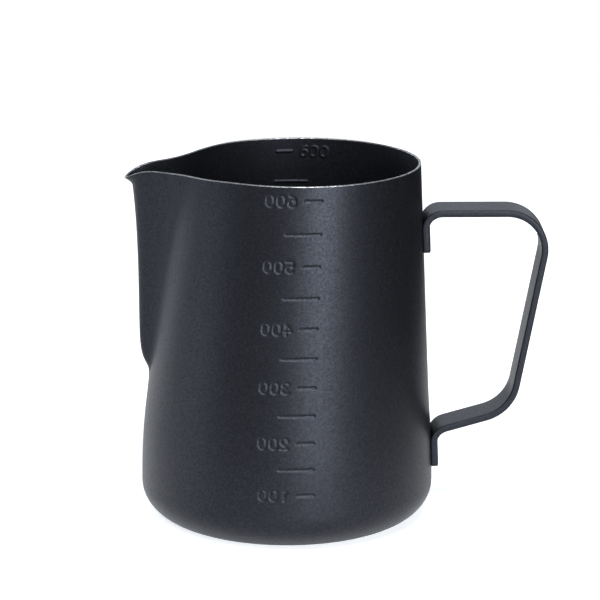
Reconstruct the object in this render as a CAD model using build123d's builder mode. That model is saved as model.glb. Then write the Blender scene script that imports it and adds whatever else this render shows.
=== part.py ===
"""Milk frothing pitcher: a deep-drawn steel jug with a pouring spout, a pressed 100 to 600 ml scale and a
bent strap handle that is spot-welded to the wall.

Frame: +Z up, origin at the middle of the base, spout towards -X, handle towards +X. Millimetres.
"""

from build123d import *
import math
import os

os.makedirs("parts", exist_ok=True)

# ---------------------------------------------------------------- sheet and pot
WALL = 0.8                  # sheet thickness
RIM_HEIGHT = 115.8
RIM_RADIUS = 38.3           # outside of the mouth
BELLY_RADIUS = 46.8        # widest part of the pot
BELLY_HEIGHT = 11.8         # top of the base corner, where the pot is widest
BASE_RADIUS = 32.6          # outer edge of the flat that the jug stands on
FOOT_WIDTH = 3.0            # the flat ring outside the recessed base panel
RECESS = 0.8                # depth of the base panel
CONE_HEIGHT = 34.7          # the wall is a straight cone from here up
TAPER = 0.0921              # radius lost for each millimetre of height on the cone
LEAN = 0.0506               # the mouth leans towards the handle by this much per millimetre
LEAN_HEIGHT = 36.0          # the lean starts about here
LEAN_SOFTNESS = 7.0         # and sets in over this height
JOINT_HEIGHT = 30.0         # the turned lower pot meets the leaning upper pot here
PAST_RIM = 2.0              # the sheet is drawn this much too high, then trimmed
POT_SECTIONS = 9
SPOUT_SECTIONS = 20

# ---------------------------------------------------------------- spout
SPOUT_START = 45.0          # the spout's wedge starts here, hidden inside the wall
HEEL_HEIGHT = 48.0          # the spout leaves the wall here
HEEL_SLOPE_HEIGHT = 4.0     # the ridge steps out of the wall over this height
HEEL_DEPTH = 1.5            # below the heel the wedge hides this deep in the wall
RIDGE_REACH = 47.2          # distance from the Z axis to the spout's ridge, above the heel
RIDGE_RISE = 1.9            # how much further out the ridge is where the lip starts
LIP_HEIGHT = 110.9          # height of the pouring tip
LIP_REACH = 51.4            # distance from the Z axis to the tip
LIP_CURL_HEIGHT = 4.0       # the lip curls outwards over this height
SPOUT_HALF_ANGLE = 37.5     # degrees between a flank and the spout's middle plane
NOSE_SHARE = 0.44           # nose radius as a share of how far the spout stands out
NOSE_LEAST = 2.4            # but no smaller than this, at the heel
SPOUT_BACK = 0.55           # the wedge's back is this share of the pot's radius from the middle
VALLEY_FILLET = 5.0         # fold between the wall and a flank

# ---------------------------------------------------------------- rim, seen from the side
RIM_DROP_START = -14.0      # the rim is level from the handle to this X
RIM_DROP_X = -42.0          # at this X it has dropped by RIM_DROP
RIM_DROP = 1.5
TIP_DROOP = (-1, -1.6)      # direction of the rim at the pouring tip

# ---------------------------------------------------------------- pressed scale
MARK_VOLUMES = range(100, 601, 50)
MARK_LOW = 19.8             # height of the 100 line
MARK_STEP = 8.11            # first step up from the 100 line
MARK_GROWTH = 1.0265        # each step is higher than the one below, because the pot narrows
PRESS_DEPTH = 0.3
MARK_WIDTH = 0.9            # of the lines
SHORT_LINE = 5.6            # beside a number
LONG_LINE = 11.3            # between the numbers
LINE_END_ANGLE = 9.2        # degrees from the scale's side of the pot to the end of the lines
STROKE = 0.6                # of the digits
DIGIT_HEIGHT = 3.4          # of the strokes' middle lines, as the width is
DIGIT_WIDTH = 2.15
DIGIT_PITCH = 3.35
DIGIT_GAP = 2.6             # between a line and its number
PRESS_BITE = 0.3            # the inner ridges reach this far into the sheet, to be one with it

# ---------------------------------------------------------------- handle strap
STRAP_WIDTH = 14.0
STRAP_THICKNESS = 2.15
STRAP_EDGE = 0.45           # rounding of the strap's long edges
FOOT_SINK = 0.3             # the foot's back is dished by this much to follow the wall
UPPER_FOOT_END = 87.3
UPPER_FOOT_TILT = 0.3       # the upper wall leans in, and the foot with it
UPPER_ARM_HEIGHT = 100.05
GRIP_TOP_X = 84.15          # corners of the strap's middle line, before bending
GRIP_BOTTOM_X = 71.9
GRIP_BOTTOM_HEIGHT = 36.0
LOWER_ARM_HEIGHT = 28.7
LOWER_FOOT_END = 16.8
FOOT_BEND = 4.3             # bend radii of the strap's middle line
GRIP_TOP_BEND = 11.6
GRIP_BOTTOM_BEND = 11.4

# ---------------------------------------------------------------- spot welds
WELD_RADIUS = 2.0
WELD_SPACING = 7.0          # between the two welds of a foot
WELD_IN_WALL = 0.4
WELD_IN_STRAP = 0.7
WELD_HEIGHTS = {"upper": 92.0, "lower": 21.8}

BELLY_ARC_RADIUS = (CONE_HEIGHT - BELLY_HEIGHT) / math.sin(math.atan(TAPER))
SHEET_TOP = RIM_HEIGHT + PAST_RIM


def pot_radius(z):
    """Outside radius of the round pot at height z, from the belly up."""
    if z < CONE_HEIGHT:
        return BELLY_RADIUS - BELLY_ARC_RADIUS + math.sqrt(BELLY_ARC_RADIUS**2 - (z - BELLY_HEIGHT) ** 2)
    return RIM_RADIUS + TAPER * (RIM_HEIGHT - z)


def pot_centre(z):
    """X of the pot's middle at height z: the upper pot leans towards the handle."""
    if z < JOINT_HEIGHT:
        return 0.0
    above = z - LEAN_HEIGHT
    start = JOINT_HEIGHT - LEAN_HEIGHT
    return LEAN / 2 * (above - start + math.hypot(above, LEAN_SOFTNESS) - math.hypot(start, LEAN_SOFTNESS))


def soft_step(x):
    """0 below 0, 1 above 1, and smooth between."""
    x = min(max(x, 0.0), 1.0)
    return x * x * (3 - 2 * x)


def ridge_reach(z):
    """Distance from the Z axis to the spout's ridge at height z, without the lip's curl."""
    rise = min(max((z - HEEL_HEIGHT) / (LIP_HEIGHT - HEEL_HEIGHT), 0.0), 1.0)
    ridge = RIDGE_REACH + RIDGE_RISE * rise**4
    inside_wall = pot_radius(z) - pot_centre(z) - HEEL_DEPTH
    return inside_wall + (ridge - inside_wall) * soft_step((z - HEEL_HEIGHT) / HEEL_SLOPE_HEIGHT)


def lip_curl(z):
    """How much further out the middle of the lip is at height z."""
    curl = min(max(1 - (LIP_HEIGHT - z) / LIP_CURL_HEIGHT, 0.0), 1.0)
    return (LIP_REACH - RIDGE_REACH - RIDGE_RISE) * curl**2


def even_heights(low, high, count):
    return [low + (high - low) * i / (count - 1) for i in range(count)]


def round_pot(inset):
    """The pot without its spout, as a solid shrunk by inset from the outside."""
    with BuildPart() as pot:
        with BuildSketch(Plane.XZ):
            with BuildLine():
                panel = BASE_RADIUS - FOOT_WIDTH
                halfway = (JOINT_HEIGHT + BELLY_HEIGHT) / 2
                wall_top = (pot_radius(JOINT_HEIGHT) - inset, JOINT_HEIGHT)
                Polyline(
                    wall_top,
                    (0, JOINT_HEIGHT),
                    (0, RECESS + inset),
                    (panel - RECESS, RECESS + inset),
                    (panel, inset),
                    (BASE_RADIUS, inset),
                )
                corner = EllipticalCenterArc(
                    (BASE_RADIUS, BELLY_HEIGHT),
                    BELLY_RADIUS - BASE_RADIUS - inset,
                    BELLY_HEIGHT - inset,
                    start_angle=270,
                    arc_size=90,
                )
                ThreePointArc(corner @ 1, (pot_radius(halfway) - inset, halfway), wall_top)
            make_face()
        revolve(axis=Axis.Z)
        for z in even_heights(JOINT_HEIGHT, SHEET_TOP, POT_SECTIONS):
            with BuildSketch(Plane(origin=(pot_centre(z), 0, z))):
                Circle(pot_radius(z) - inset)
        loft()
    return pot.part


def jug_solid(inset):
    """The pot with its spout, as a solid shrunk by inset from the outside."""
    pot = round_pot(inset)
    slope = math.radians(SPOUT_HALF_ANGLE)
    with BuildPart() as jug:
        add(pot)
        for z in even_heights(SPOUT_START, SHEET_TOP, SPOUT_SECTIONS):
            stands_out = ridge_reach(z) + pot_centre(z) - pot_radius(z)
            nose = max(NOSE_SHARE * stands_out, NOSE_LEAST) - inset
            nose_centre = inset + nose - ridge_reach(z)
            shoulder_x = nose_centre - nose * math.sin(slope)
            shoulder_y = nose * math.cos(slope)
            back_x = pot_centre(z) - SPOUT_BACK * pot_radius(z)
            back_y = shoulder_y + (back_x - shoulder_x) * math.tan(slope)
            tip_x = inset - ridge_reach(z) - lip_curl(z)
            with BuildSketch(Plane.XY.offset(z)):
                with BuildLine():
                    tip = ThreePointArc((shoulder_x, shoulder_y), (tip_x, 0), (shoulder_x, -shoulder_y))
                    Polyline(tip @ 1, (back_x, -back_y), (back_x, back_y), tip @ 0)
                make_face()
        loft()
        fillet(jug.edges(Select.NEW), VALLEY_FILLET)
    return jug.part


def mark_height(volume):
    """Height of the line for a volume in ml."""
    steps = (volume - MARK_VOLUMES.start) / MARK_VOLUMES.step
    return MARK_LOW + MARK_STEP * (MARK_GROWTH**steps - 1) / (MARK_GROWTH - 1)


def digit_lines(digit, left):
    """Middle lines of a digit: left is its left edge, and it is centred on the sketch's X axis.

    Its curves are part circles as wide as the digit. Fractions are shares of their radius, bow.
    """
    right = left + DIGIT_WIDTH
    middle = left + DIGIT_WIDTH / 2
    top = DIGIT_HEIGHT / 2
    bow = DIGIT_WIDTH / 2
    if digit == "1":
        Polyline((left + bow / 3, top - bow * 0.7), (middle, top), (middle, -top))
    elif digit == "2":
        head = ThreePointArc((left, top - bow), (middle, top), (right, top - bow))
        Polyline(head @ 1, (left, -top), (right, -top))
    elif digit == "3":
        small = bow * 0.8
        waist = (middle, top - 2 * small)
        ThreePointArc((left + bow / 4, top - small / 3), (middle + small / 2, top - small / 4), waist)
        ThreePointArc(waist, (right, -top + bow * 0.9), (left, -top + bow / 3))
    elif digit == "4":
        cross = -bow * 0.6
        Polyline((right, cross), (left, cross), (middle + bow / 2, top), (middle + bow / 2, -top))
    elif digit == "5":
        neck = (left + bow / 8, bow / 4)
        Polyline((right, top), (left + bow / 4, top), neck)
        ThreePointArc(neck, (right, -top + bow), (left, -top + bow / 3))
    elif digit == "6":
        ThreePointArc((right - bow / 4, top), (left + bow / 3, bow * 0.7), (left, -top + bow))
        CenterArc((middle, bow - top), bow, 180, 360)
    else:
        CenterArc((middle, top - bow), bow, 0, 180)
        Line((left, top - bow), (left, bow - top))
        CenterArc((middle, bow - top), bow, 180, 180)
        Line((right, bow - top), (right, top - bow))


def mark_prisms():
    """Lines and numbers of both scales, as prisms from the pot's middle plane out through the wall.

    Both scales read correctly from inside the jug. The second is the first turned by half a turn.
    """
    with BuildPart() as prisms:
        for reading in (-1, 1):
            for volume in MARK_VOLUMES:
                z = mark_height(volume)
                line_end = pot_radius(z) * math.sin(math.radians(LINE_END_ANGLE))
                origin = (pot_centre(z) - reading * line_end, 0, z)
                with BuildSketch(Plane(origin=origin, x_dir=(reading, 0, 0), z_dir=(0, -reading, 0))):
                    numbered = volume % 100 == 0
                    length = SHORT_LINE if numbered else LONG_LINE
                    Rectangle(length, MARK_WIDTH, align=(Align.MIN, Align.CENTER))
                    if numbered:
                        for place, digit in enumerate(str(volume)):
                            with BuildLine():
                                digit_lines(digit, SHORT_LINE + DIGIT_GAP + place * DIGIT_PITCH)
                            trace(line_width=STROKE)
                extrude(amount=-2 * BELLY_RADIUS)
    return prisms.part


outside = jug_solid(0)
inside = jug_solid(WALL)
groove_floor = round_pot(PRESS_DEPTH)
ridge_root = round_pot(WALL - PRESS_BITE)
ridge_crest = round_pot(WALL + PRESS_DEPTH)
marks = mark_prisms()

with BuildPart() as grooves:
    add(marks)
    add(groove_floor, mode=Mode.SUBTRACT)

with BuildPart() as ridges:
    add(marks)
    add(ridge_root, mode=Mode.INTERSECT)
    add(ridge_crest, mode=Mode.SUBTRACT)

welds = {}
for foot, height in WELD_HEIGHTS.items():
    for side, y in {"front": -WELD_SPACING / 2, "back": WELD_SPACING / 2}.items():
        wall_x = pot_centre(height) + math.sqrt(pot_radius(height) ** 2 - y**2)
        with BuildPart() as weld:
            with BuildSketch(Plane(origin=(wall_x - WELD_IN_WALL, y, height), z_dir=(1, 0, 0))):
                Circle(WELD_RADIUS)
            extrude(amount=WELD_IN_WALL + WELD_IN_STRAP)
        weld.part.label = f"{foot}_weld_{side}"
        export_step(weld.part, f"parts/{weld.part.label}.step")
        welds[weld.part.label] = weld.part

with BuildPart() as body:
    add(outside)
    add(inside, mode=Mode.SUBTRACT)
    with BuildSketch(Plane.XZ):
        with BuildLine():
            level = Line((2 * LIP_REACH, RIM_HEIGHT), (RIM_DROP_START, RIM_HEIGHT))
            halfway_down = (RIM_DROP_X, RIM_HEIGHT - RIM_DROP)
            droop = Spline(level @ 1, halfway_down, (-LIP_REACH, LIP_HEIGHT), tangents=[(-1, 0), TIP_DROOP])
            Polyline(
                droop @ 1,
                (-2 * LIP_REACH, LIP_HEIGHT),
                (-2 * LIP_REACH, 2 * RIM_HEIGHT),
                (2 * LIP_REACH, 2 * RIM_HEIGHT),
                level @ 0,
            )
        make_face()
    extrude(amount=2 * BELLY_RADIUS, both=True, mode=Mode.SUBTRACT)
    add(grooves.part, mode=Mode.SUBTRACT)
    add(ridges.part)
    for nugget in welds.values():
        add(nugget, mode=Mode.SUBTRACT)
body.part.label = "body"
export_step(body.part, "parts/body.step")

foot_offset = STRAP_THICKNESS / 2 - FOOT_SINK
upper_foot_x = pot_radius(WELD_HEIGHTS["upper"]) + pot_centre(WELD_HEIGHTS["upper"]) + foot_offset
lower_foot_x = pot_radius(WELD_HEIGHTS["lower"]) + pot_centre(WELD_HEIGHTS["lower"]) + foot_offset
with BuildPart() as handle:
    with BuildLine() as strap:
        FilletPolyline(
            (upper_foot_x + UPPER_FOOT_TILT, 0, UPPER_FOOT_END),
            (upper_foot_x - UPPER_FOOT_TILT, 0, UPPER_ARM_HEIGHT),
            (GRIP_TOP_X, 0, UPPER_ARM_HEIGHT),
            (GRIP_BOTTOM_X, 0, GRIP_BOTTOM_HEIGHT),
            (lower_foot_x, 0, LOWER_ARM_HEIGHT),
            (lower_foot_x, 0, LOWER_FOOT_END),
            radius=[FOOT_BEND, GRIP_TOP_BEND, GRIP_BOTTOM_BEND, FOOT_BEND],
        )
    with BuildSketch(Plane(origin=strap.line @ 0, x_dir=(0, 1, 0), z_dir=strap.line % 0)):
        RectangleRounded(STRAP_WIDTH, STRAP_THICKNESS, STRAP_EDGE)
    sweep()
    add(outside, mode=Mode.SUBTRACT)
    for nugget in welds.values():
        add(nugget, mode=Mode.SUBTRACT)
handle.part.label = "handle"
export_step(handle.part, "parts/handle.step")
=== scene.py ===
"""Milk frothing pitcher: the looks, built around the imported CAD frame.

Shapes are worked out in millimetres in the frame's axes: +Z up, spout towards -X, handle towards +X.
Meshes are scaled to metres when they are made. Lights, camera and materials are in metres.
"""

import math

import bpy
import numpy as np
from mathutils import Matrix, Vector


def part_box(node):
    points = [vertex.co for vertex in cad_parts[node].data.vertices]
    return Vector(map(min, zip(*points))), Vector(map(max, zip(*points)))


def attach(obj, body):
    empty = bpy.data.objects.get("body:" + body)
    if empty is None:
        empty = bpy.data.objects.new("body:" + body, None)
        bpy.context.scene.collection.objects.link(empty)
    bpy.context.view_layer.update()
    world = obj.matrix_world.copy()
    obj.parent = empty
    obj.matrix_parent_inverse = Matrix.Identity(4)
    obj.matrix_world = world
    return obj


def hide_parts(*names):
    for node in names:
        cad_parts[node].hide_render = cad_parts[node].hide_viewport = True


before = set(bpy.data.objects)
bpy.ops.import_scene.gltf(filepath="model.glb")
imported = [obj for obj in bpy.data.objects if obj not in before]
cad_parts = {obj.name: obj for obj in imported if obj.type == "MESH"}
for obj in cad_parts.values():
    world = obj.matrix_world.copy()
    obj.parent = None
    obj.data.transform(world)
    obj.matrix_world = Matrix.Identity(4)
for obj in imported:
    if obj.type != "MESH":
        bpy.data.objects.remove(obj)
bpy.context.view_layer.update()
MM = 0.001

# ---------------------------------------------------------------- sizes read from the frame, in millimetres
body_low, body_high = (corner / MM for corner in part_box("body"))
handle_low, handle_high = (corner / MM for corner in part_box("handle"))
RIM_HEIGHT = body_high.z
BELLY_RADIUS = -body_low.y
STRAP_WIDTH = handle_high.y - handle_low.y

# ---------------------------------------------------------------- pot
WALL = 0.8                  # sheet thickness
RIM_RADIUS = 38.3           # turns spacing round the pot into angles
BELLY_HEIGHT = 11.8         # top of the base corner, where the pot is widest
BASE_RADIUS = 32.6          # outer edge of the ring that the jug stands on
PANEL_RADIUS = 29.6         # the base panel inside that ring is recessed
RECESS = 0.8
PANEL_RINGS = (1.5, 6.0, 12.0, 18.0, 23.0, 26.0)
RING_SUPPORT = 0.6          # an extra row of points this far inside BASE_RADIUS keeps the ring flat
CORNER_STEPS = 18           # of the base corner
CONE_HEIGHT = 34.7          # the wall is a straight cone from here up
TAPER = 0.0921
LEAN = 0.0506               # the mouth leans towards the handle
LEAN_HEIGHT = 36.0
LEAN_SOFTNESS = 7.0
CUT_EDGE_HEIGHT = 0.24      # the sheet's cut edge is rounded over this height
CUT_EDGE_TURNS = np.radians((20, 45, 70, 90, 110, 135, 160))
CUT_EDGE_POWER = 0.6        # flatter than a half circle
BELLY_ARC_RADIUS = (CONE_HEIGHT - BELLY_HEIGHT) / math.sin(math.atan(TAPER))
PANEL_STEP = (              # from the panel down to the ring: distance past PANEL_RADIUS, height
    (-1.3, RECESS),
    (-0.92, 0.77),
    (-0.7, 0.65),
    (-0.15, 0.12),
    (0.05, 0.02),
    (0.4, 0.0),
)

# ---------------------------------------------------------------- spout
HEEL_HEIGHT = 48.9          # the spout leaves the wall here
HEEL_SLOPE_HEIGHT = 2.8     # the ridge steps out of the wall over about this height
HEEL_SOFTNESS = 1.6
RIDGE_REACH = 47.2          # distance from the Z axis to the ridge, above the heel
RIDGE_RISE = 1.9            # how much further out the ridge is where the lip starts
RISE_POWER = 4
LIP_REACH = 51.4            # distance from the Z axis to the tip
HALF_ANGLE = math.radians(34.2)
NOSE_SHARE = 0.42           # nose radius as a share of how far the spout stands out
NOSE_LEAST = 1.8            # but no smaller than this, at the heel
FOLD_SHARE = 0.24           # softness of the fold beside a flank, as the same kind of share
FOLD_LEAST = 0.01
FADE = (math.radians(40), math.radians(67))  # the flanks fade into the round wall between these turns
CURL_HEIGHT = 2.4           # the lip curls out over this height
CURL_TURN = math.radians(6.8)

# ---------------------------------------------------------------- rim, seen from the side
RIM_SLOPE = (16.0, 42.0)    # the rim sinks between these distances from the Z axis
RIM_SLOPE_DROP = 1.3
DROOP_START = 40.0          # and then droops towards the tip
TIP_DROP = 4.7
DROOP_POWER = 2.5
DROOP_MOST = 1.1            # keeps the first rounds of the rim's height in bounds
RIM_ROUNDS = 8
DROOP_LOW = 88.0            # the grid's rows bend to follow the rim from this height up

# ---------------------------------------------------------------- pressed scale
MARK_VOLUMES = range(100, 601, 50)
NUMBERED = 100              # volumes that divide by this have a number
MARK_LOW = 19.8             # height of the 100 line
MARK_STEP = 8.11            # from it to the next line
MARK_GROWTH = 1.0265        # each step is this much larger than the one below
LINE_WIDTH = 0.8
SHORT_LINE = 5.6            # beside a number
LONG_LINE = 11.3            # between the numbers
LINE_END_TURN = math.radians(9.2)       # from the middle of the pot's side to the near lines' ends
FAR_LINE_END_TURN = math.radians(10.1)  # and to the far lines' ends
STROKE = 0.62               # of a digit
DIGIT_HEIGHT = 3.4
DIGIT_WIDTH = 2.15
DIGIT_PITCH = 3.35
DIGIT_GAP = 2.6             # between a line and its number
DIGITS = 3
ARC_POINTS = 13
SAME_POINT = 1e-6           # stroke points closer than this are one
GROOVE_DEPTH = 0.32         # outside
GROOVE_SHOULDER = 0.45      # the groove's sides slope over this width
RIDGE_HEIGHT = 0.28         # inside, a little lower than the groove is deep
RIDGE_SHOULDER = 0.45

# ---------------------------------------------------------------- spacing of the pot's grid
MARK_ROW = 0.22             # rows are rings at a height, and columns run up the wall
MARK_COLUMN = 0.27
LIP_ROW = 0.5
HEEL_ROW = 0.5
WALL_ROW = 1.3
NOSE_COLUMN = 0.55
SPOUT_COLUMN = 1.1
WALL_COLUMN = 2.0
NOSE_TURN = math.radians(12)  # columns closer to the spout's middle than this are nose columns
SCALE_MARGIN = 0.03         # angle past the ends of a scale with fine columns

# ---------------------------------------------------------------- handle
STRAP_THICKNESS = 2.15
STRAP_EDGE = 0.45           # rounding of the strap's long edges
FOOT_GAP = 0.02             # between foot and wall
FOOT_CORNER = 1.0           # rounding of a foot's two corners
DISHED = 8.0                # a foot is dished over this length, and then less over as much again
UPPER_FOOT_END = 87.3
UPPER_ARM_HEIGHT = 100.05
GRIP_TOP_X = 84.07          # corners of the strap's middle line, before bending
GRIP_BOTTOM_X = 71.7
GRIP_BOTTOM_HEIGHT = 35.4
LOWER_ARM_HEIGHT = 28.55
LOWER_FOOT_END = 16.8
FOOT_BEND = 4.7             # bend radii of the strap's middle line
GRIP_TOP_BEND = 12.0
GRIP_BOTTOM_BEND = 13.4
STRAP_ROW = 1.0             # spacing of rings in the bends
STRAIGHT_ROW = 1.5          # and at most this elsewhere
LEAST_BEND_STEPS = 6
END_ROWS = (0.0, 0.06, 0.2, 0.45, 0.8, 1.3)  # distances of fine rings from each end
END_ROUNDING = 0.11         # the strap thins towards its end over this length
END_SHARE = 0.62            # of its thickness is left at the end
END_GROWTH = 1.2            # and this much comes back with the root of the distance from the end
EDGE_POINTS = 6             # of each rounded edge of the section
FLAT_POINTS = 12            # of each wide face

# ---------------------------------------------------------------- camera
CAMERA_DISTANCE = 1.05275
CAMERA_ELEVATION = math.radians(14.22)
CAMERA_TURN = math.radians(1.5)
CAMERA_ROLL = math.radians(0.13)
AIM_ASIDE = 0.00409         # of the pot's axis
AIM_HEIGHT = 0.07061
SENSOR_WIDTH = 36.0
LENS = 197.8

# ---------------------------------------------------------------- floor and lights
FLOOR_SPAN = ((-450.0, 175.0), (-170.0, 600.0))  # in x and in y
FLOOR_GLOW = 0.76
FLOOR_GLOW_COLOUR = (0.93, 0.96, 1.0, 1)
WORLD_LIGHT = 0.01
WORLD_COLOUR = (0.92, 0.95, 1.0, 1)
WHITE = (1.0, 1.0, 1.0)
COOL = (0.85, 0.91, 1.0)
MIDDLE = (0.0, 0.0, 0.06)
LIGHTS = (                  # name, place, aim, (width, height), watts, colour
    ("key", (0.31, -0.90, 0.19), MIDDLE, (0.17, 0.38), 10.9, WHITE),
    ("key_low", (0.46, -0.84, 0.14), MIDDLE, (0.16, 0.28), 2.7, WHITE),
    ("front_high", (-0.35, -0.75, 0.75), MIDDLE, (0.40, 0.40), 5.2, WHITE),
    ("front_mid", (0.10, -0.62, 0.85), MIDDLE, (0.25, 0.25), 12.5, WHITE),
    ("left_low", (-0.90, -0.30, 0.14), MIDDLE, (0.30, 0.28), 0.5, COOL),
    ("spout_low", (-0.60, -0.12, 0.03), (0.0, 0.0, 0.08), (0.30, 0.06), 0.45, COOL),
    ("left", (-0.90, 0.10, 0.30), MIDDLE, (0.30, 0.50), 0.4, COOL),
    ("left_back", (-0.80, 0.60, 0.30), MIDDLE, (0.30, 0.50), 4.6, COOL),
    ("back", (0.0, 1.60, 0.70), (0.0, 0.0, 0.1), (3.0, 1.3), 16.0, (0.86, 0.91, 1.0)),
)

# ---------------------------------------------------------------- materials
# A noise is (cells per metre, detail). A relief is (height in metres, strength).
NOISE_SPAN = (0.3, 0.7)     # where noise varies
SPECKLE_NOISE = (3600.0, 2)
CLOUD_NOISE = (55.0, 3)
GRAIN_NOISE = (2300.0, 1)
PEEL_NOISE = (1300.0, 1)
GRAIN_RELIEF = (0.00002, 0.5)
PEEL_RELIEF = (0.00003, 0.5)
COATING_SPECKLE = (
    (0.34, (0.0018, 0.0020, 0.0024)),
    (0.55, (0.0030, 0.0032, 0.0039)),
    (0.72, (0.0125, 0.0137, 0.0165)),
)
COATING_CLOUD = (
    (0.35, (0.90, 0.90, 0.91)),
    (0.65, (1.0, 1.0, 1.0)),
)
COATING_ROUGHNESS = (0.47, 0.44)
COATING_GLOSS = (0.40, 0.60)  # specular level
COATING_IOR = 1.31
COATING_TINT = (0.73, 0.795, 1.0, 1)
WEAR_NOISE = (900.0, 3)
WEAR_RELIEF = (0.00003, 0.4)
EDGE_WEAR = (
    (0.30, (0.10, 0.105, 0.115)),
    (0.55, (0.26, 0.27, 0.285)),
    (0.75, (0.42, 0.43, 0.45)),
)
EDGE_ROUGHNESS = (0.50, 0.38)
EDGE_METALLIC = 0.9
WELD_NOISE = (1500.0, 3)
WELD_RELIEF = (0.00005, 0.3)
WELD_TINT = (
    (0.35, (0.22, 0.20, 0.19)),
    (0.65, (0.48, 0.46, 0.44)),
)
WELD_ROUGHNESS = (0.35, 0.55)
FLOOR_NOISE = (3.0, 2)
FLOOR_CLOUD = (
    (0.3, (0.57, 0.575, 0.58)),
    (0.7, (0.59, 0.595, 0.60)),
)
FLOOR_ROUGHNESS = 0.9
FLOOR_GLOSS = 0.1


# ================================================================ shape of the pot
def soft_step(x):
    """0 below 0, 1 above 1, and smooth between."""
    x = np.clip(x, 0.0, 1.0)
    return x * x * (3 - 2 * x)


def soft_ramp(x, softness):
    """0 far below 0, x far above it, and smooth between."""
    return (x + np.hypot(x, softness)) / 2


def pot_radius(z):
    """Outside radius of the round pot at height z, from the belly up."""
    above_belly = np.minimum(z, CONE_HEIGHT) - BELLY_HEIGHT
    arc = BELLY_RADIUS - BELLY_ARC_RADIUS + np.sqrt(BELLY_ARC_RADIUS**2 - above_belly**2)
    return arc - TAPER * np.maximum(z - CONE_HEIGHT, 0)


def pot_centre(z):
    """X of the pot's middle at height z: the upper pot leans towards the handle."""
    start = soft_ramp(BELLY_HEIGHT - LEAN_HEIGHT, LEAN_SOFTNESS)
    return LEAN * (soft_ramp(z - LEAN_HEIGHT, LEAN_SOFTNESS) - start)


def stand_out(z):
    """How far the spout's ridge stands out from the round wall, without the lip's curl."""
    rise = np.clip((z - HEEL_HEIGHT) / (RIM_HEIGHT - TIP_DROP - HEEL_HEIGHT), 0, 1)
    ridge = RIDGE_REACH + RIDGE_RISE * rise**RISE_POWER + pot_centre(z) - pot_radius(z)
    return ridge * (1 - np.exp(-soft_ramp(z - HEEL_HEIGHT, HEEL_SOFTNESS) / HEEL_SLOPE_HEIGHT))


def outline_radius(turn, z):
    """Distance from the pot's middle to its outside. turn is the angle from the spout's middle."""
    turn = np.abs(turn)
    radius = pot_radius(z)
    out = stand_out(z)
    nose = np.maximum(NOSE_SHARE * out, NOSE_LEAST)
    nose_centre = radius + out - nose
    flank = nose_centre * math.sin(HALF_ANGLE) + nose
    nose_end = np.arctan2(nose * math.cos(HALF_ANGLE), nose_centre + nose * math.sin(HALF_ANGLE))
    across = nose_centre * np.sin(turn)
    on_nose = nose_centre * np.cos(turn) + np.sqrt(np.maximum(nose**2 - across**2, 0))
    on_flank = flank / np.sin(np.minimum(turn + HALF_ANGLE, math.pi / 2))
    wedge = np.where(turn < nose_end, on_nose, on_flank)
    fade = 1 - soft_step((turn - FADE[0]) / (FADE[1] - FADE[0]))
    return radius + soft_ramp(wedge - radius, FOLD_SHARE * out + FOLD_LEAST) * fade


def lip_curl(turn, below_rim):
    """How far the lip curls out, at a distance below the rim."""
    full = LIP_REACH - RIDGE_REACH - RIDGE_RISE
    return full * np.clip(1 - below_rim / CURL_HEIGHT, 0, 1) ** 2 * np.exp(-((turn / CURL_TURN) ** 2))


def rim_height(turn):
    """Height of the rim. It depends on the rim's X, so the two are brought together in a few rounds."""
    z = np.full_like(turn, RIM_HEIGHT)
    for _ in range(RIM_ROUNDS):
        reach = (outline_radius(turn, z) + lip_curl(turn, 0)) * np.cos(turn) - pot_centre(z)
        slope = RIM_SLOPE_DROP * soft_step((reach - RIM_SLOPE[0]) / (RIM_SLOPE[1] - RIM_SLOPE[0]))
        droop = np.clip((reach - DROOP_START) / (LIP_REACH - DROOP_START), 0, DROOP_MOST) ** DROOP_POWER
        z = RIM_HEIGHT - slope - (TIP_DROP - RIM_SLOPE_DROP) * droop
    return z


# ================================================================ pressed scale
def mark_height(volume):
    """Height of the line for a volume in ml."""
    steps = (volume - MARK_VOLUMES.start) / MARK_VOLUMES.step
    return MARK_LOW + MARK_STEP * (MARK_GROWTH**steps - 1) / (MARK_GROWTH - 1)


def arc(x, z, across, up, start, end):
    """Points on part of an ellipse, with angles in degrees."""
    angles = np.radians(np.linspace(start, end, ARC_POINTS))
    return [(x + across * math.cos(a), z + up * math.sin(a)) for a in angles]


def digit_strokes(digit):
    """Strokes of a digit as lists of points, in a box DIGIT_WIDTH wide that is centred on the height 0."""
    right = DIGIT_WIDTH
    middle = DIGIT_WIDTH / 2
    top = DIGIT_HEIGHT / 2
    bow = DIGIT_WIDTH / 2
    if digit == "1":
        return [[(bow / 3, top - bow * 0.7), (middle, top), (middle, -top)]]
    if digit == "2":
        return [arc(middle, top - bow, bow, bow, 180, -20) + [(0, -top), (right, -top)]]
    if digit == "3":
        small = top * 0.46
        large = top * 0.54
        return [
            arc(middle, top - small, bow * 0.9, small, 150, -90),
            arc(middle, large - top, bow, large, 90, -150),
        ]
    if digit == "4":
        stem = right * 0.75
        return [[(right, -top * 0.4), (0, -top * 0.4), (stem, top), (stem, -top)]]
    if digit == "5":
        flag = [(right, top), (bow / 4, top), (bow / 8, top * 0.1)]
        return [flag + arc(middle, -top * 0.4, bow, top * 0.6, 130, -150)]
    if digit == "6":
        ring = arc(middle, bow - top, bow, bow, 0, 180) + arc(middle, bow - top, bow, bow, 180, 360)
        return [ring, arc(right, bow - top, right, 2 * top - bow, 180, 100)]
    side = top - bow
    return [arc(middle, side, bow, bow, 0, 180) + arc(middle, -side, bow, bow, 180, 360) + [(right, side)]]


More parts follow.
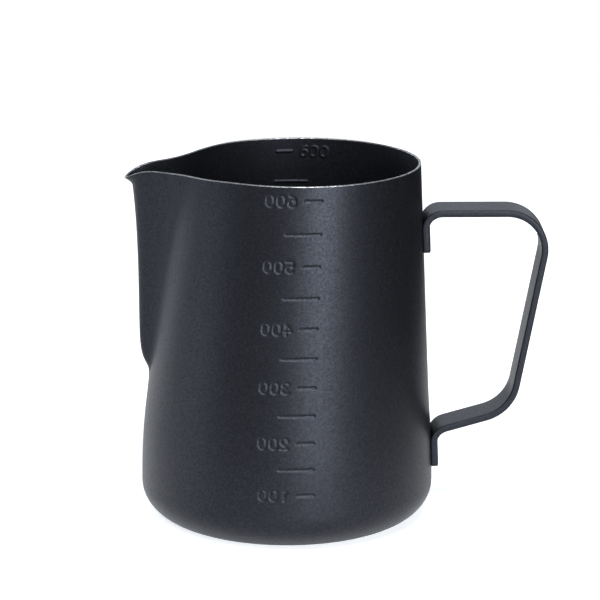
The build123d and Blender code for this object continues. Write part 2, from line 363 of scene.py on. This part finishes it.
def distance_to_stroke(u, v, stroke):
    """Distance from points (u, v) to a line through the stroke's points."""
    nearest = np.full(u.shape, np.inf)
    for (u0, v0), (u1, v1) in zip(stroke, stroke[1:]):
        du = u1 - u0
        dv = v1 - v0
        length = math.hypot(du, dv)
        if length < SAME_POINT:
            continue
        along = np.clip(((u - u0) * du + (v - v0) * dv) / length**2, 0, 1)
        nearest = np.minimum(nearest, np.hypot(u - u0 - along * du, v - v0 - along * dv))
    return nearest


def pressed(x, y, z, shoulder):
    """How deep the scale is pressed at points of the wall, from 0 to 1.

    Both scales read correctly from inside: the far one runs towards +X and the near one towards -X.
    """
    depth = np.zeros_like(x)
    reading = np.where(y > 0, 1.0, -1.0)
    line_end = pot_radius(z) * np.sin(np.where(y > 0, FAR_LINE_END_TURN, LINE_END_TURN))
    u = reading * (x - pot_centre(z)) + line_end
    for volume in MARK_VOLUMES:
        height = mark_height(volume)
        if np.abs(z - height).min() > DIGIT_HEIGHT:
            continue
        v = z - height
        numbered = volume % NUMBERED == 0
        length = SHORT_LINE if numbered else LONG_LINE
        half = LINE_WIDTH / 2
        strokes = [([(half, 0), (length - half, 0)], LINE_WIDTH)]
        if numbered:
            for place, digit in enumerate(str(volume)):
                left = SHORT_LINE + DIGIT_GAP + place * DIGIT_PITCH
                for points in digit_strokes(digit):
                    strokes.append(([(left + px, pz) for px, pz in points], STROKE))
        for points, width in strokes:
            inside = (width / 2 - distance_to_stroke(u, v, points)) / shoulder + 0.5
            depth = np.maximum(depth, soft_step(inside))
    return depth


# ================================================================ grid of the pot
def walk(low, high, step_at):
    """Places from low to high whose spacing follows step_at(place)."""
    places = [low]
    while places[-1] < high:
        places.append(places[-1] + step_at(places[-1]))
    return low + (np.array(places) - low) * (high - low) / (places[-1] - low)


def row_step(z):
    """Height to the next row: fine across the marks, the spout's heel and the lip."""
    step = WALL_ROW
    if abs(z - HEEL_HEIGHT) < 2 * HEEL_SLOPE_HEIGHT:
        step = HEEL_ROW
    if z > RIM_HEIGHT - 2 * CURL_HEIGHT:
        step = LIP_ROW
    for volume in MARK_VOLUMES:
        reach = DIGIT_HEIGHT / 2 + STROKE if volume % NUMBERED == 0 else LINE_WIDTH
        if z < mark_height(volume) + reach:
            to_mark = mark_height(volume) - reach - z
            return min(step, max(to_mark, MARK_ROW))
    return step


def column_step(turn):
    """Angle to the next column: fine round the spout's nose and across both scales."""
    from_spout = min(turn, 2 * math.pi - turn)
    spacing = WALL_COLUMN
    if from_spout < FADE[1]:
        spacing = SPOUT_COLUMN
    if from_spout < NOSE_TURN:
        spacing = NOSE_COLUMN
    scale_length = SHORT_LINE + DIGIT_GAP + DIGITS * DIGIT_PITCH
    scale_end = math.asin(scale_length / RIM_RADIUS - math.sin(LINE_END_TURN))
    for side in (math.pi / 2, 3 * math.pi / 2):
        if turn < side + FAR_LINE_END_TURN + SCALE_MARGIN:
            to_scale = side - scale_end - SCALE_MARGIN - turn
            return min(spacing, max(to_scale * RIM_RADIUS, MARK_COLUMN)) / RIM_RADIUS
    return spacing / RIM_RADIUS


turns = walk(0.0, 2 * math.pi, column_step)[:-1]
signed_turns = np.where(turns > math.pi, turns - 2 * math.pi, turns)
rim_line = rim_height(signed_turns)


def wall_ring(height):
    """Outside ring at a height of the wall. Its upper rows bend down with the rim at the spout."""
    top = RIM_HEIGHT - CUT_EDGE_HEIGHT
    follow = soft_step((height - DROOP_LOW) / (top - DROOP_LOW))
    z = height - (RIM_HEIGHT - rim_line) * follow
    radius = outline_radius(signed_turns, z) + lip_curl(signed_turns, rim_line - CUT_EDGE_HEIGHT - z)
    x = pot_centre(z) - radius * np.cos(signed_turns)
    y = -radius * np.sin(signed_turns)
    return np.stack([x, y, z], axis=1)


def plan_normals(ring):
    """Outward normals of a ring, seen from above."""
    along = np.roll(ring, -1, axis=0) - np.roll(ring, 1, axis=0)
    normal = np.stack([along[:, 1], -along[:, 0], np.zeros(len(ring))], axis=1)
    return normal / np.linalg.norm(normal, axis=1)[:, None]


def moved_in(ring, distance, shoulder, press):
    """A wall ring moved in along its normals, and further in where the scale is pressed."""
    depth = distance + press * pressed(ring[:, 0], ring[:, 1], ring[:, 2], shoulder)
    return ring - plan_normals(ring) * depth[:, None]


def flat_ring(radius, z):
    """A round ring at one height, for the base."""
    x = -radius * np.cos(turns)
    y = -radius * np.sin(turns)
    return np.stack([x, y, np.full_like(turns, z)], axis=1)


def base_profile(inset):
    """Radius and height of the base, from near its middle to the belly, shrunk by inset from outside."""
    panel = [(r, RECESS + inset) for r in PANEL_RINGS]
    step = [(PANEL_RADIUS + outwards, inset + height) for outwards, height in PANEL_STEP]
    ring = [(BASE_RADIUS - RING_SUPPORT, inset)]
    corner = []
    for angle in np.linspace(-math.pi / 2, 0, CORNER_STEPS + 1)[:-1]:
        r = BASE_RADIUS + (BELLY_RADIUS - BASE_RADIUS - inset) * math.cos(angle)
        z = BELLY_HEIGHT + (BELLY_HEIGHT - inset) * math.sin(angle)
        corner.append((r, z))
    return panel + step + ring + corner


def pot_rings():
    """All rings, from the middle of the underside over the rim to the middle of the floor inside.

    Also gives the first and last ring of the bare cut edge.
    """
    wall = [wall_ring(z) for z in walk(BELLY_HEIGHT, RIM_HEIGHT - CUT_EDGE_HEIGHT, row_step)]
    outer = [moved_in(ring, 0, GROOVE_SHOULDER, GROOVE_DEPTH) for ring in wall]
    inner = [moved_in(ring, WALL, RIDGE_SHOULDER, RIDGE_HEIGHT) for ring in wall]
    edge = []
    normals = plan_normals(wall[-1])
    for turn in CUT_EDGE_TURNS:
        inwards = WALL / 2 * (1 - math.cos(turn))
        ring = wall[-1] - normals * inwards
        ring[:, 2] += CUT_EDGE_HEIGHT * math.sin(turn) ** CUT_EDGE_POWER
        edge.append(ring)
    underside = [flat_ring(r, z) for r, z in base_profile(0)]
    floor = [flat_ring(r, z) for r, z in base_profile(WALL)]
    rings = underside + outer + edge + inner[::-1] + floor[::-1]
    edge_start = len(underside) + len(outer) - 1
    return rings, edge_start, edge_start + len(edge) + 1


def new_piece(name, vertices, faces):
    """A smooth-shaded mesh object from points in millimetres."""
    mesh = bpy.data.meshes.new(name)
    mesh.from_pydata((np.asarray(vertices) * MM).tolist(), [], faces)
    mesh.validate()
    mesh.shade_smooth()
    piece = bpy.data.objects.new(name, mesh)
    bpy.context.scene.collection.objects.link(piece)
    return piece


def tube_faces(rings, around):
    """Quads between neighbouring rings, with the rings' order and the loop's order as given."""
    quads = []
    for row in range(rings - 1):
        for column in range(around):
            after = (column + 1) % around
            low = row * around
            high = low + around
            quads.append((low + column, low + after, high + after, high + column))
    return quads


def make_pot():
    """One closed mesh: the rings joined by quads, and a fan of triangles at each end."""
    rings, edge_start, edge_end = pot_rings()
    around = len(turns)
    vertices = np.concatenate(rings)
    faces = tube_faces(len(rings), around)
    ends = [np.array([0, 0, rings[0][0][2]]), np.array([0, 0, rings[-1][0][2]])]
    vertices = np.concatenate([vertices, ends])
    under = len(vertices) - 2
    inside = len(vertices) - 1
    last = (len(rings) - 1) * around
    for column in range(around):
        after = (column + 1) % around
        faces.append((under, after, column))
        faces.append((inside, last + column, last + after))
    piece = new_piece("pot", vertices, faces)
    for polygon in piece.data.polygons[edge_start * around : edge_end * around]:
        polygon.material_index = 1
    return piece


# ================================================================ handle
def rounded_path(corners, bends):
    """Points along a line in the XZ plane whose corners are rounded."""
    corners = [np.array(corner, float) for corner in corners]
    points = [corners[0]]
    for before, corner, after, bend in zip(corners, corners[1:], corners[2:], bends):
        inwards = (before - corner) / np.linalg.norm(before - corner)
        outwards = (after - corner) / np.linalg.norm(after - corner)
        half = math.acos(np.clip(inwards @ outwards, -1, 1)) / 2
        middle = corner + (inwards + outwards) / np.linalg.norm(inwards + outwards) * bend / math.sin(half)
        start = corner + inwards * bend / math.tan(half)
        end = corner + outwards * bend / math.tan(half)
        sweep = math.pi - 2 * half
        count = max(LEAST_BEND_STEPS, round(bend * sweep / STRAP_ROW))
        from_middle = start - middle
        to_end = end - middle
        for share in np.linspace(0, 1, count + 1):
            weight = np.sin([(1 - share) * sweep, share * sweep]) / math.sin(sweep)
            points.append(middle + weight[0] * from_middle + weight[1] * to_end)
    points.append(corners[-1])
    path = [points[0]]
    for point in points[1:]:
        length = np.linalg.norm(point - path[-1])
        pieces = max(1, math.ceil(length / STRAIGHT_ROW))
        path += [path[-1] + (point - path[-1]) * (i + 1) / pieces for i in range(pieces)]
    return np.array(path)


def strap_section():
    """Loop of points (across the strap, through its thickness)."""
    half_width = STRAP_WIDTH / 2
    half_thickness = STRAP_THICKNESS / 2
    loop = []
    for corner, (side, face) in enumerate(((1, 1), (-1, 1), (-1, -1), (1, -1))):
        for angle in np.radians(np.linspace(0, 90, EDGE_POINTS) + 90 * corner):
            across = side * (half_width - STRAP_EDGE) + STRAP_EDGE * math.cos(angle)
            through = face * (half_thickness - STRAP_EDGE) + STRAP_EDGE * math.sin(angle)
            loop.append((across, through))
        if corner % 2 == 0:
            flat = np.linspace(loop[-1][0], -loop[-1][0], FLAT_POINTS)[1:-1]
            loop += [(across, loop[-1][1]) for across in flat]
    return np.array(loop)


def wall_x(z):
    """X of the wall's outside on the handle's side."""
    return float(pot_centre(z) + pot_radius(z))


def strap_path():
    """Middle line of the strap, from the upper foot's end to the lower foot's end."""
    stand = STRAP_THICKNESS / 2 + FOOT_GAP
    corners = [
        (wall_x(UPPER_FOOT_END) + stand, UPPER_FOOT_END),
        (wall_x(UPPER_ARM_HEIGHT) + stand, UPPER_ARM_HEIGHT),
        (GRIP_TOP_X, UPPER_ARM_HEIGHT),
        (GRIP_BOTTOM_X, GRIP_BOTTOM_HEIGHT),
        (wall_x(LOWER_ARM_HEIGHT) + stand, LOWER_ARM_HEIGHT),
        (wall_x(LOWER_FOOT_END) + stand, LOWER_FOOT_END),
    ]
    return rounded_path(corners, (FOOT_BEND, GRIP_TOP_BEND, GRIP_BOTTOM_BEND, FOOT_BEND))


def strap_ring(section, point, normal, to_end):
    """The section at a point of the path: narrower and thinner at an end, and dished at a foot."""
    half_width = STRAP_WIDTH / 2
    short = max(FOOT_CORNER - to_end, 0)
    narrow = (half_width - FOOT_CORNER + math.sqrt(FOOT_CORNER**2 - short**2)) / half_width
    thin = min(1.0, END_SHARE + END_GROWTH * math.sqrt(to_end)) if to_end < END_ROUNDING else 1.0
    across = section[:, 0] * narrow
    through = section[:, 1] * thin
    foot = 1 - soft_step((to_end - DISHED) / DISHED)
    radius = float(pot_radius(point[1])) + STRAP_THICKNESS / 2
    sag = (radius - np.sqrt(radius**2 - across**2)) * foot
    x = point[0] + normal[0] * through - sag
    z = point[1] + normal[1] * through
    return np.stack([x, across, z], axis=1)


def make_handle():
    """One closed mesh: the strap's section carried along its path."""
    path = strap_path()
    travelled = np.concatenate([[0], np.cumsum(np.linalg.norm(np.diff(path, axis=0), axis=1))])
    near_end = np.array([*END_ROWS, FOOT_CORNER])
    places = np.unique(np.concatenate([near_end, travelled, travelled[-1] - near_end]).round(6))
    path = np.stack([np.interp(places, travelled, path[:, i]) for i in (0, 1)], axis=1)
    along = np.gradient(path, axis=0)
    along /= np.linalg.norm(along, axis=1)[:, None]
    out = np.stack([-along[:, 1], along[:, 0]], axis=1)
    section = strap_section()
    rings = []
    for place, point, normal in zip(places, path, out):
        rings.append(strap_ring(section, point, normal, min(place, places[-1] - place)))
    around = len(section)
    faces = tube_faces(len(rings), around)
    last = (len(rings) - 1) * around
    faces.append(tuple(range(around))[::-1])
    faces.append(tuple(range(last, last + around)))
    return new_piece("strap", np.concatenate(rings), faces)


# ================================================================ materials
def new_material(name):
    """The material, its nodes, its links and its main shader."""
    material = bpy.data.materials.new(name)
    material.use_nodes = True
    nodes = material.node_tree.nodes
    return material, nodes, material.node_tree.links, nodes["Principled BSDF"]


def noise(nodes, links, coordinates, cells, detail):
    """Noise with a number of cells per metre."""
    texture = nodes.new("ShaderNodeTexNoise")
    texture.inputs["Scale"].default_value = cells
    texture.inputs["Detail"].default_value = detail
    links.new(coordinates, texture.inputs["Vector"])
    return texture.outputs["Fac"]


def ramp(nodes, links, factor, stops):
    """Colour ramp through (place, colour) stops."""
    node = nodes.new("ShaderNodeValToRGB")
    elements = node.color_ramp.elements
    while len(elements) < len(stops):
        elements.new(0.5)
    for element, (place, colour) in zip(elements, stops):
        element.position = place
        element.color = (*colour, 1)
    links.new(factor, node.inputs["Fac"])
    return node.outputs["Color"]


def spread(nodes, links, factor, ends):
    """Maps the span where noise varies to the two ends."""
    node = nodes.new("ShaderNodeMapRange")
    node.inputs["From Min"].default_value, node.inputs["From Max"].default_value = NOISE_SPAN
    node.inputs["To Min"].default_value, node.inputs["To Max"].default_value = ends
    links.new(factor, node.inputs["Value"])
    return node.outputs["Result"]


def bump(nodes, links, factor, height, strength, below=None):
    """Normals of a bumpy surface, on top of those from another bump if one is given."""
    node = nodes.new("ShaderNodeBump")
    node.inputs["Distance"].default_value = height
    node.inputs["Strength"].default_value = strength
    links.new(factor, node.inputs["Height"])
    if below is not None:
        links.new(below, node.inputs["Normal"])
    return node.outputs["Normal"]


def coated_steel():
    """Matt anthracite powder coating: fine speckle, faint clouds, and a grain in its relief and gloss."""
    material, nodes, links, shader = new_material("coated_steel")
    place = nodes.new("ShaderNodeTexCoord").outputs["Object"]
    speckle = noise(nodes, links, place, *SPECKLE_NOISE)
    cloud = noise(nodes, links, place, *CLOUD_NOISE)
    grain = noise(nodes, links, place, *GRAIN_NOISE)
    peel = noise(nodes, links, place, *PEEL_NOISE)
    fine = ramp(nodes, links, speckle, COATING_SPECKLE)
    tone = ramp(nodes, links, cloud, COATING_CLOUD)
    mix = nodes.new("ShaderNodeMix")
    mix.data_type = "RGBA"
    mix.blend_type = "MULTIPLY"
    mix.inputs["Factor"].default_value = 1
    links.new(fine, mix.inputs["A"])
    links.new(tone, mix.inputs["B"])
    links.new(mix.outputs["Result"], shader.inputs["Base Color"])
    links.new(spread(nodes, links, peel, COATING_ROUGHNESS), shader.inputs["Roughness"])
    links.new(spread(nodes, links, peel, COATING_GLOSS), shader.inputs["Specular IOR Level"])
    shader.inputs["IOR"].default_value = COATING_IOR
    shader.inputs["Specular Tint"].default_value = COATING_TINT
    smooth = bump(nodes, links, peel, *PEEL_RELIEF)
    links.new(bump(nodes, links, grain, *GRAIN_RELIEF, smooth), shader.inputs["Normal"])
    return material


def bare_edge():
    """The sheet's cut edge: the coating is thin there, so bright steel shows through in places."""
    material, nodes, links, shader = new_material("bare_edge")
    place = nodes.new("ShaderNodeTexCoord").outputs["Object"]
    worn = noise(nodes, links, place, *WEAR_NOISE)
    links.new(ramp(nodes, links, worn, EDGE_WEAR), shader.inputs["Base Color"])
    links.new(spread(nodes, links, worn, EDGE_ROUGHNESS), shader.inputs["Roughness"])
    shader.inputs["Metallic"].default_value = EDGE_METALLIC
    links.new(bump(nodes, links, worn, *WEAR_RELIEF), shader.inputs["Normal"])
    return material


def weld_steel():
    """Spot welds: heat-tinted steel with a rough cast surface."""
    material, nodes, links, shader = new_material("weld_steel")
    place = nodes.new("ShaderNodeTexCoord").outputs["Object"]
    grain = noise(nodes, links, place, *WELD_NOISE)
    links.new(ramp(nodes, links, grain, WELD_TINT), shader.inputs["Base Color"])
    links.new(spread(nodes, links, grain, WELD_ROUGHNESS), shader.inputs["Roughness"])
    shader.inputs["Metallic"].default_value = 1
    links.new(bump(nodes, links, grain, *WELD_RELIEF), shader.inputs["Normal"])
    return material


def floor_white():
    """Pale floor that glows a little, so that it comes out white."""
    material, nodes, links, shader = new_material("floor_white")
    place = nodes.new("ShaderNodeTexCoord").outputs["Object"]
    cloud = noise(nodes, links, place, *FLOOR_NOISE)
    links.new(ramp(nodes, links, cloud, FLOOR_CLOUD), shader.inputs["Base Color"])
    shader.inputs["Roughness"].default_value = FLOOR_ROUGHNESS
    shader.inputs["Specular IOR Level"].default_value = FLOOR_GLOSS
    shader.inputs["Emission Color"].default_value = FLOOR_GLOW_COLOUR
    shader.inputs["Emission Strength"].default_value = FLOOR_GLOW
    return material


# ================================================================ stage
def area_light(name, place, aim, size, watts, colour):
    """A rectangular softbox. size is (width, height)."""
    light = bpy.data.lights.new(name, "AREA")
    light.shape = "RECTANGLE"
    light.size, light.size_y = size
    light.energy = watts
    light.color = colour
    lamp = bpy.data.objects.new(name, light)
    lamp.location = place
    lamp.rotation_euler = (Vector(aim) - Vector(place)).to_track_quat("-Z", "Y").to_euler()
    bpy.context.scene.collection.objects.link(lamp)


def make_world():
    """White to the camera, dimmer as a light, so that the dark coating isn't washed out."""
    world = bpy.data.worlds.new("studio")
    bpy.context.scene.world = world
    world.use_nodes = True
    nodes = world.node_tree.nodes
    links = world.node_tree.links
    seen = nodes["Background"]
    seen.inputs["Color"].default_value = (1, 1, 1, 1)
    lit = nodes.new("ShaderNodeBackground")
    lit.inputs["Color"].default_value = WORLD_COLOUR
    lit.inputs["Strength"].default_value = WORLD_LIGHT
    mix = nodes.new("ShaderNodeMixShader")
    links.new(nodes.new("ShaderNodeLightPath").outputs["Is Camera Ray"], mix.inputs["Fac"])
    links.new(lit.outputs["Background"], mix.inputs[1])
    links.new(seen.outputs["Background"], mix.inputs[2])
    links.new(mix.outputs["Shader"], nodes["World Output"].inputs["Surface"])


def make_floor():
    """Wide behind and on the spout's side only, so that the coating mirrors little white elsewhere."""
    (left, right), (front, rear) = FLOOR_SPAN
    vertices = [(left, front, 0), (right, front, 0), (right, rear, 0), (left, rear, 0)]
    floor = new_piece("floor", vertices, [(0, 1, 2, 3)])
    floor.data.materials.append(floor_white())


def make_camera():
    """Looks at the pot from the front and above, from a little to the spout's side."""
    data = bpy.data.cameras.new("camera")
    data.sensor_width = SENSOR_WIDTH
    data.lens = LENS
    camera = bpy.data.objects.new("camera", data)
    bpy.context.scene.collection.objects.link(camera)
    bpy.context.scene.camera = camera
    turn = Matrix.Rotation(-CAMERA_TURN, 4, "Z")
    aim = Vector((AIM_ASIDE, 0, AIM_HEIGHT))
    back = Vector((0, -math.cos(CAMERA_ELEVATION), math.sin(CAMERA_ELEVATION)))
    upright = back.to_track_quat("Z", "Y").to_matrix().to_4x4()
    upright = upright @ Matrix.Rotation(CAMERA_ROLL, 4, "Z")
    camera.matrix_world = turn @ Matrix.Translation(aim + back * CAMERA_DISTANCE) @ upright


# ================================================================ putting it together
coating = coated_steel()

pot = make_pot()
pot.data.materials.append(coating)
pot.data.materials.append(bare_edge())
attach(pot, "root")
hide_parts("body")

strap = make_handle()
strap.data.materials.append(coating)
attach(strap, "root")
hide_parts("handle")

welds = weld_steel()
for name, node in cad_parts.items():
    if "weld" in name:
        node.data.materials.clear()
        node.data.materials.append(welds)

make_floor()
for light in LIGHTS:
    area_light(*light)
make_world()
make_camera()
bpy.context.scene.view_settings.view_transform = "Standard"
